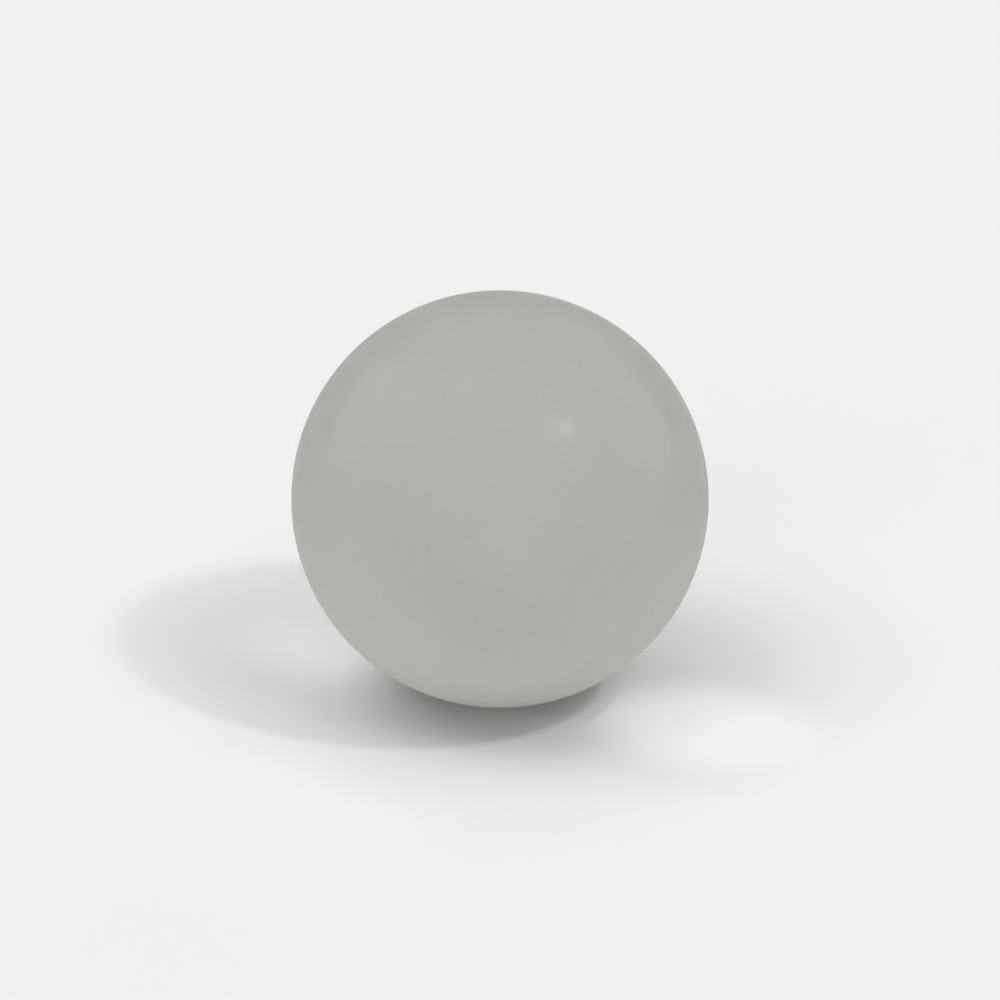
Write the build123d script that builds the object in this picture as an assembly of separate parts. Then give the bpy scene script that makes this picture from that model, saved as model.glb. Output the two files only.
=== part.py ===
from build123d import *
from math import pi
import os

# A pool cue ball: one solid, homogeneous ball cast in phenolic resin, then ground round
# and polished. It has no core, insert, seam, hole or flat, so it is a single piece.
#
# Millimetres, +Z up. The origin is the ball's centre, and the ball touches what it
# stands on at (0, 0, -ball_radius).

# Driving dimensions
ball_diameter = 57.15      # the standard American pool ball, 2 1/4 inches
roundness_limit = 0.127    # the most that a standard ball's diameter may be out, 0.005 inch

# Worked out from them
ball_radius = ball_diameter / 2
ball_volume = 4 / 3 * pi * ball_radius**3

parts_folder = "parts"
largest_volume_error = 0.001    # as a share of the ball's volume


def make_ball():
    """The whole ball: a closed solid with one spherical face."""
    ball = Sphere(ball_radius)
    ball.label = "ball"
    return ball


def check_ball(ball):
    """Stops the build if this isn't a whole ball of the stated size about the origin."""
    box = ball.bounding_box()
    for side in box.size:
        assert abs(side - ball_diameter) < roundness_limit
    assert ball.center().length < roundness_limit
    assert abs(ball.volume / ball_volume - 1) < largest_volume_error


os.makedirs(parts_folder, exist_ok=True)
cue_ball = make_ball()
check_ball(cue_ball)
export_step(cue_ball, f"{parts_folder}/{cue_ball.label}.step")
print(f"{cue_ball.label}: {ball_diameter} mm across, {cue_ball.volume / 1000:.2f} cubic centimetres")
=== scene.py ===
"""A cue ball on a white studio floor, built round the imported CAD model.

Metres, +Z up, with the origin at the ball's centre.
"""

import math

import bmesh
import bpy
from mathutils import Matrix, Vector


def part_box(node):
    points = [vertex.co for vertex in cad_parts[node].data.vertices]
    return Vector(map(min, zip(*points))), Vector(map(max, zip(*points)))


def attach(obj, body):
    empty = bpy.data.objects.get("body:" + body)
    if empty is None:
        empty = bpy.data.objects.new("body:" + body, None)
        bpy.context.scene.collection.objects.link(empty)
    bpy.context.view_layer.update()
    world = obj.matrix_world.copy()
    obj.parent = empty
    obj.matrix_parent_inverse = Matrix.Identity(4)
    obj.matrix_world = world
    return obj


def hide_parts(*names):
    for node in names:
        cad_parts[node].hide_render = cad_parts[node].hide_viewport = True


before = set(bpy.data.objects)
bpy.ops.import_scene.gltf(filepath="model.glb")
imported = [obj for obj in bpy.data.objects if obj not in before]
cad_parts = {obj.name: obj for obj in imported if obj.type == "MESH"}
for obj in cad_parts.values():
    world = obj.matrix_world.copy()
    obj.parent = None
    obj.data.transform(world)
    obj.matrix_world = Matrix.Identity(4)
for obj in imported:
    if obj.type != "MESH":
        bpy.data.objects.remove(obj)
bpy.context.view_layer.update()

MILLIMETRE = 0.001

# The ball, from the CAD node that it replaces.
ball_low, ball_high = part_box("ball")
BALL_RADIUS = (ball_high[2] - ball_low[2]) / 2
BALL_CENTRE = Vector((0, 0, (ball_high[2] + ball_low[2]) / 2))
FLOOR_HEIGHT = ball_low[2]

# Its mesh: the cells along each side of six grids, and how near two points count as one.
CELLS_PER_FACE = 80
WELD_DISTANCE = 0.01 * MILLIMETRE

# The resin: a pale grey, very slightly green-yellow, with no gloss of its own.
# Half of the light that it gives back has soaked into it first.
RESIN_COLOUR = (0.362, 0.366, 0.344)
RESIN_ROUGHNESS = 0.5
RESIN_SHINE = 0.0
SOAK_WEIGHT = 0.5
SOAK_DEPTH = 30 * MILLIMETRE

# The thin polish on it, which gives all the gloss.
POLISH_WEIGHT = 0.11
POLISH_ROUGHNESS = 0.22

# How far colour and roughness vary, and how clouds, flecks and hairlines share the colour.
COLOUR_SPREAD = 0.03
CLOUD_SHARE = 0.5
FLECK_SHARE = 0.3
HAIRLINE_SHARE = 0.2
ROUGHNESS_SPREAD = 0.04

# What varies over the ball, each with the size of its blobs, how much finer detail they have
# and how far they are warped, then the values that nearly all such noise lies between.
CLOUD = (14 * MILLIMETRE, 4.0, 0.6)
FLECK = (0.5 * MILLIMETRE, 1.0, 0.0)
WEAR = (9 * MILLIMETRE, 3.0, 0.3)
RIPPLE = (1.6 * MILLIMETRE, 1.0, 0.0)
NOISE_LOW = 0.3
NOISE_HIGH = 0.7
RIPPLE_DEPTH = 0.001 * MILLIMETRE

# Hairlines: three sets of marks that all run front to back, so they are long on top and at
# the sides, and short dabs in front. Their spacing, how tightly they are packed along X, Y
# and Z, the turns in radians that draw each set from another part of the noise, how much
# finer detail they have, and the noise values between which a mark fades in.
HAIRLINE_SPACING = 0.9 * MILLIMETRE
HAIRLINE_STRETCH = (1.0, 0.02, 0.3)
HAIRLINE_TURNS = ((0.3, 0.9, 0.2), (1.4, 0.2, 1.1), (0.7, 2.3, 1.9))
HAIRLINE_DETAIL = 1.0
HAIRLINE_START = 0.62
HAIRLINE_FULL = 0.72
HAIRLINE_DEPTH = 0.004 * MILLIMETRE

# The camera: how steeply it looks down, how many ball radii away it is, how much of the
# frame's width the ball fills, how many radii below the centre it aims, its sensor in
# millimetres, and how near and how far it sees in metres.
CAMERA_ELEVATION = math.radians(23.05)
CAMERA_RADII = 16.3
BALL_SHARE = 0.4174
AIM_BELOW_CENTRE = 0.0053
SENSOR_WIDTH = 36.0
NEAREST_SEEN = 0.01
FARTHEST_SEEN = 80.0

# The studio: the tone at which floor and backdrop run together, how much light the floor
# sends back, how far it reaches each way in metres, and which tone curve is for all colours.
PAPER_WHITE = 0.88
FLOOR_ALBEDO = 0.9
FLOOR_REACH = 20.0
COMBINED_CURVE = 3

# Softboxes: name, azimuth from +X, elevation and width in degrees, and strength.
SOFTBOXES = (
    ("key", -30, 50.5, 4, 0.45),
    ("key_glow", -42, 50, 24, 0.4),
    ("overhead", 0, 90, 45, 0.5),
    ("left_high", -165, 58, 40, 1.0),
    ("right_high", 0, 58, 32, 0.3),
    ("right_low", -5, 10, 30, 0.3),
    ("back_high", 112, 56, 36, 0.4),
    ("back_right", 60, 28, 24, 0.2),
    ("front_low", -105, 10, 70, 1.4),
)

# Fills that reach the ball alone and leave the floor's shadows as they are.
FILLS = (
    ("fill_front", -90, 2, 60, 0.8),
    ("fill_left", -165, -12, 60, 0.65),
    ("fill_right", -15, -12, 60, 0.5),
    ("fill_back", 90, -25, 40, 0.9),
)

# Reflector cards that only the polish mirrors.
CARDS = (
    ("card_key", -30, 50.5, 4, 0.05),
    ("card_left", 158, 28, 44, 2.0),
    ("card_right", 22, 21, 40, 1.6),
)

# Small spots that lay light on the floor beside the ball: name, where it lands in ball radii,
# azimuth and elevation of the lamp, radius of its pool in ball radii, and power in watts.
# Then how far each lamp is from its pool, and the lamp's own radius.
SPOTS = (
    ("pool_right", (0.95, -0.42), -20, 60, 0.55, 11),
    ("pool_left", (-0.87, 0.42), 155, 40, 0.4, 6),
)
SPOT_DISTANCE = 1.0
SPOT_SIZE = 4 * MILLIMETRE


def toward(azimuth, elevation):
    """The unit direction at an azimuth from +X and an elevation, both in degrees."""
    turn = math.radians(azimuth)
    rise = math.radians(elevation)
    return Vector((math.cos(rise) * math.cos(turn), math.cos(rise) * math.sin(turn), math.sin(rise)))


def place(name, data):
    """Puts new data into the scene as an object."""
    thing = bpy.data.objects.new(name, data)
    bpy.context.scene.collection.objects.link(thing)
    return thing


def make_material(name):
    """A new material and its Principled shader."""
    material = bpy.data.materials.new(name)
    material.use_nodes = True
    return material, material.node_tree.nodes["Principled BSDF"]


# ---------------------------------------------------------------- the ball

def add_face_grid(mesh, across, up, out):
    """One side of a cube, cut into cells that come out even on the sphere."""
    rows = []
    for row in range(CELLS_PER_FACE + 1):
        rise = math.tan((row / CELLS_PER_FACE - 0.5) * math.pi / 2)
        line = []
        for column in range(CELLS_PER_FACE + 1):
            run = math.tan((column / CELLS_PER_FACE - 0.5) * math.pi / 2)
            direction = (out + across * run + up * rise).normalized()
            line.append(mesh.verts.new(BALL_CENTRE + direction * BALL_RADIUS))
        rows.append(line)
    for below, above in zip(rows, rows[1:]):
        for column in range(CELLS_PER_FACE):
            mesh.faces.new((below[column], below[column + 1], above[column + 1], above[column]))


def make_ball():
    """The ball as six face grids blown up to the true radius and joined along their edges."""
    mesh = bmesh.new()
    axes = [Vector(axis) for axis in ((1, 0, 0), (0, 1, 0), (0, 0, 1))]
    for turn in range(3):
        out, across, up = axes[turn:] + axes[:turn]
        add_face_grid(mesh, across, up, out)
        add_face_grid(mesh, up, across, -out)
    bmesh.ops.remove_doubles(mesh, verts=mesh.verts, dist=WELD_DISTANCE)
    data = bpy.data.meshes.new("cue_ball")
    mesh.to_mesh(data)
    mesh.free()
    data.shade_smooth()
    ball = place("cue_ball", data)
    data.materials.append(make_resin())
    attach(ball, "root")
    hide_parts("ball")
    return ball


def noise(tree, size, detail, distortion):
    """Soft random values about a half, in blobs about as large as the size, in metres."""
    place_on_ball = tree.nodes.new("ShaderNodeTexCoord")
    texture = tree.nodes.new("ShaderNodeTexNoise")
    texture.inputs["Scale"].default_value = 1 / size
    texture.inputs["Detail"].default_value = detail
    texture.inputs["Distortion"].default_value = distortion
    tree.links.new(place_on_ball.outputs["Object"], texture.inputs["Vector"])
    return texture.outputs["Fac"]


def spread(tree, value, low, high, start=NOISE_LOW, end=NOISE_HIGH):
    """Carries a value from start..end over to low..high, and holds it there past either end."""
    node = tree.nodes.new("ShaderNodeMapRange")
    node.inputs["From Min"].default_value = start
    node.inputs["From Max"].default_value = end
    node.inputs["To Min"].default_value = low
    node.inputs["To Max"].default_value = high
    tree.links.new(value, node.inputs["Value"])
    return node.outputs["Result"]


def combine(tree, operation, first, second):
    """The sum, product or other combination of two values."""
    node = tree.nodes.new("ShaderNodeMath")
    node.operation = operation
    tree.links.new(first, node.inputs[0])
    tree.links.new(second, node.inputs[1])
    return node.outputs["Value"]


def blend_colours(tree, share, first, second):
    """The first colour at share 0 and the second at share 1."""
    node = tree.nodes.new("ShaderNodeMix")
    node.data_type = "RGBA"
    node.inputs["A"].default_value = (*first, 1)
    node.inputs["B"].default_value = (*second, 1)
    tree.links.new(share, node.inputs["Factor"])
    return node.outputs["Result"]


def add_hairlines(tree, turn):
    """One set of fine polishing marks from front to back: 1 on a mark and 0 elsewhere.

    The turn comes after the stretch, so it changes where the marks are, but not their direction.
    """
    place_on_ball = tree.nodes.new("ShaderNodeTexCoord")
    stretch = tree.nodes.new("ShaderNodeMapping")
    stretch.inputs["Rotation"].default_value = turn
    stretch.inputs["Scale"].default_value = [share / HAIRLINE_SPACING for share in HAIRLINE_STRETCH]
    texture = tree.nodes.new("ShaderNodeTexNoise")
    texture.inputs["Scale"].default_value = 1.0
    texture.inputs["Detail"].default_value = HAIRLINE_DETAIL
    tree.links.new(place_on_ball.outputs["Object"], stretch.inputs["Vector"])
    tree.links.new(stretch.outputs["Vector"], texture.inputs["Vector"])
    return spread(tree, texture.outputs["Fac"], 0, 1, HAIRLINE_START, HAIRLINE_FULL)


def make_resin():
    """Cast resin: pale grey, faintly cloudy and flecked, under a thin polish with hairlines."""
    material, shader = make_material("cue_ball_resin")
    tree = material.node_tree
    marks = add_hairlines(tree, HAIRLINE_TURNS[0])
    for turn in HAIRLINE_TURNS[1:]:
        marks = combine(tree, "MAXIMUM", marks, add_hairlines(tree, turn))

    cloud = spread(tree, noise(tree, *CLOUD), 0, CLOUD_SHARE)
    fleck = spread(tree, noise(tree, *FLECK), 0, FLECK_SHARE)
    unmarked = spread(tree, marks, HAIRLINE_SHARE, 0, 0, 1)
    mottle = combine(tree, "ADD", combine(tree, "ADD", cloud, fleck), unmarked)
    light = [channel * (1 + COLOUR_SPREAD) for channel in RESIN_COLOUR]
    dark = [channel * (1 - COLOUR_SPREAD) for channel in RESIN_COLOUR]
    tree.links.new(blend_colours(tree, mottle, dark, light), shader.inputs["Base Color"])

    worn = spread(tree, noise(tree, *WEAR), -ROUGHNESS_SPREAD, ROUGHNESS_SPREAD)
    scuffed = spread(tree, marks, RESIN_ROUGHNESS, RESIN_ROUGHNESS + ROUGHNESS_SPREAD, 0, 1)
    tree.links.new(combine(tree, "ADD", scuffed, worn), shader.inputs["Roughness"])

    ripple = spread(tree, noise(tree, *RIPPLE), 0, RIPPLE_DEPTH)
    groove = spread(tree, marks, 0, HAIRLINE_DEPTH, 0, 1)
    bump = tree.nodes.new("ShaderNodeBump")
    bump.inputs["Strength"].default_value = 1.0
    bump.inputs["Distance"].default_value = 1.0
    tree.links.new(combine(tree, "SUBTRACT", ripple, groove), bump.inputs["Height"])
    tree.links.new(bump.outputs["Normal"], shader.inputs["Normal"])
    tree.links.new(bump.outputs["Normal"], shader.inputs["Coat Normal"])

    shader.inputs["Specular IOR Level"].default_value = RESIN_SHINE
    shader.inputs["Subsurface Weight"].default_value = SOAK_WEIGHT
    shader.inputs["Subsurface Radius"].default_value = (1, 1, 1)
    shader.inputs["Subsurface Scale"].default_value = SOAK_DEPTH
    shader.inputs["Coat Weight"].default_value = POLISH_WEIGHT
    shader.inputs["Coat Roughness"].default_value = POLISH_ROUGHNESS
    return material


# ---------------------------------------------------------------- the studio

def make_floor():
    """A wide matt white floor at the height of the ball's lowest point."""
    data = bpy.data.meshes.new("studio_floor")
    sides = ((-1, -1), (1, -1), (1, 1), (-1, 1))
    corners = [(x * FLOOR_REACH, y * FLOOR_REACH, FLOOR_HEIGHT) for x, y in sides]
    data.from_pydata(corners, [], [(0, 1, 2, 3)])
    material, shader = make_material("studio_white")
    shader.inputs["Base Color"].default_value = (FLOOR_ALBEDO, FLOOR_ALBEDO, FLOOR_ALBEDO, 1)
    shader.inputs["Roughness"].default_value = 1.0
    shader.inputs["Specular IOR Level"].default_value = 0.0
    data.materials.append(material)
    place("studio_floor", data)


def make_backdrop():
    """What the camera sees beyond the floor has the floor's own white, and lights nothing."""
    world = bpy.data.worlds.new("studio")
    world.use_nodes = True
    tree = world.node_tree
    background = tree.nodes["Background"]
    background.inputs["Color"].default_value = (1, 1, 1, 1)
    path = tree.nodes.new("ShaderNodeLightPath")
    tree.links.new(path.outputs["Is Camera Ray"], background.inputs["Strength"])
    bpy.context.scene.world = world


def make_softbox(name, azimuth, elevation, width, strength):
    """A softbox far enough away to act as a disc of sky."""
    lamp = bpy.data.lights.new(name, "SUN")
    lamp.energy = strength
    lamp.angle = math.radians(width)
    thing = place(name, lamp)
    thing.rotation_euler = toward(azimuth, elevation).to_track_quat("Z", "Y").to_euler()
    return thing


def make_lamps(ball):
    """The studio's softboxes, then the fills for the ball alone and the cards for its polish."""
    for softbox in SOFTBOXES:
        make_softbox(*softbox)
    ball_alone = bpy.data.collections.new("ball_alone")
    ball_alone.objects.link(ball)
    for fill in FILLS:
        thing = make_softbox(*fill)
        thing.light_linking.receiver_collection = ball_alone
        thing.light_linking.blocker_collection = ball_alone
    for card in CARDS:
        thing = make_softbox(*card)
        thing.visible_diffuse = False


def make_spots():
    """Narrow soft spots for the pools of light beside the ball."""
    for name, landing, azimuth, elevation, pool_radius, power in SPOTS:
        target = Vector((landing[0] * BALL_RADIUS, landing[1] * BALL_RADIUS, FLOOR_HEIGHT))
        direction = toward(azimuth, elevation)
        lamp = bpy.data.lights.new(name, "SPOT")
        lamp.energy = power
        lamp.spot_size = 2 * math.atan(pool_radius * BALL_RADIUS / SPOT_DISTANCE)
        lamp.spot_blend = 1.0
        lamp.shadow_soft_size = SPOT_SIZE
        thing = place(name, lamp)
        thing.location = target + direction * SPOT_DISTANCE
        thing.rotation_euler = direction.to_track_quat("Z", "Y").to_euler()


def make_camera():
    """The camera stands in front of the ball, on the -Y side, and looks down at it."""
    camera = bpy.data.cameras.new("camera")
    camera.sensor_width = SENSOR_WIDTH
    half_angle = math.asin(1 / CAMERA_RADII)
    camera.lens = SENSOR_WIDTH * BALL_SHARE / 2 / math.tan(half_angle)
    camera.clip_start = NEAREST_SEEN
    camera.clip_end = FARTHEST_SEEN
    back = toward(-90, math.degrees(CAMERA_ELEVATION))
    aim = BALL_CENTRE - Vector((0, 0, AIM_BELOW_CENTRE * BALL_RADIUS))
    thing = place("camera", camera)
    thing.location = aim + back * CAMERA_RADII * BALL_RADIUS
    thing.rotation_euler = back.to_track_quat("Z", "Y").to_euler()
    bpy.context.scene.camera = thing


def set_tones():
    """True colours up to paper white, and flat above it."""
    view = bpy.context.scene.view_settings
    view.view_transform = "Standard"
    view.use_curve_mapping = True
    curve = view.curve_mapping.curves[COMBINED_CURVE]
    view.curve_mapping.extend = "HORIZONTAL"
    curve.points[-1].location = (1.0, PAPER_WHITE)
    curve.points.new(PAPER_WHITE, PAPER_WHITE)
    for point in curve.points:
        point.handle_type = "VECTOR"
    view.curve_mapping.update()


make_camera()
cue_ball = make_ball()
make_floor()
make_backdrop()
make_lamps(cue_ball)
make_spots()
set_tones()
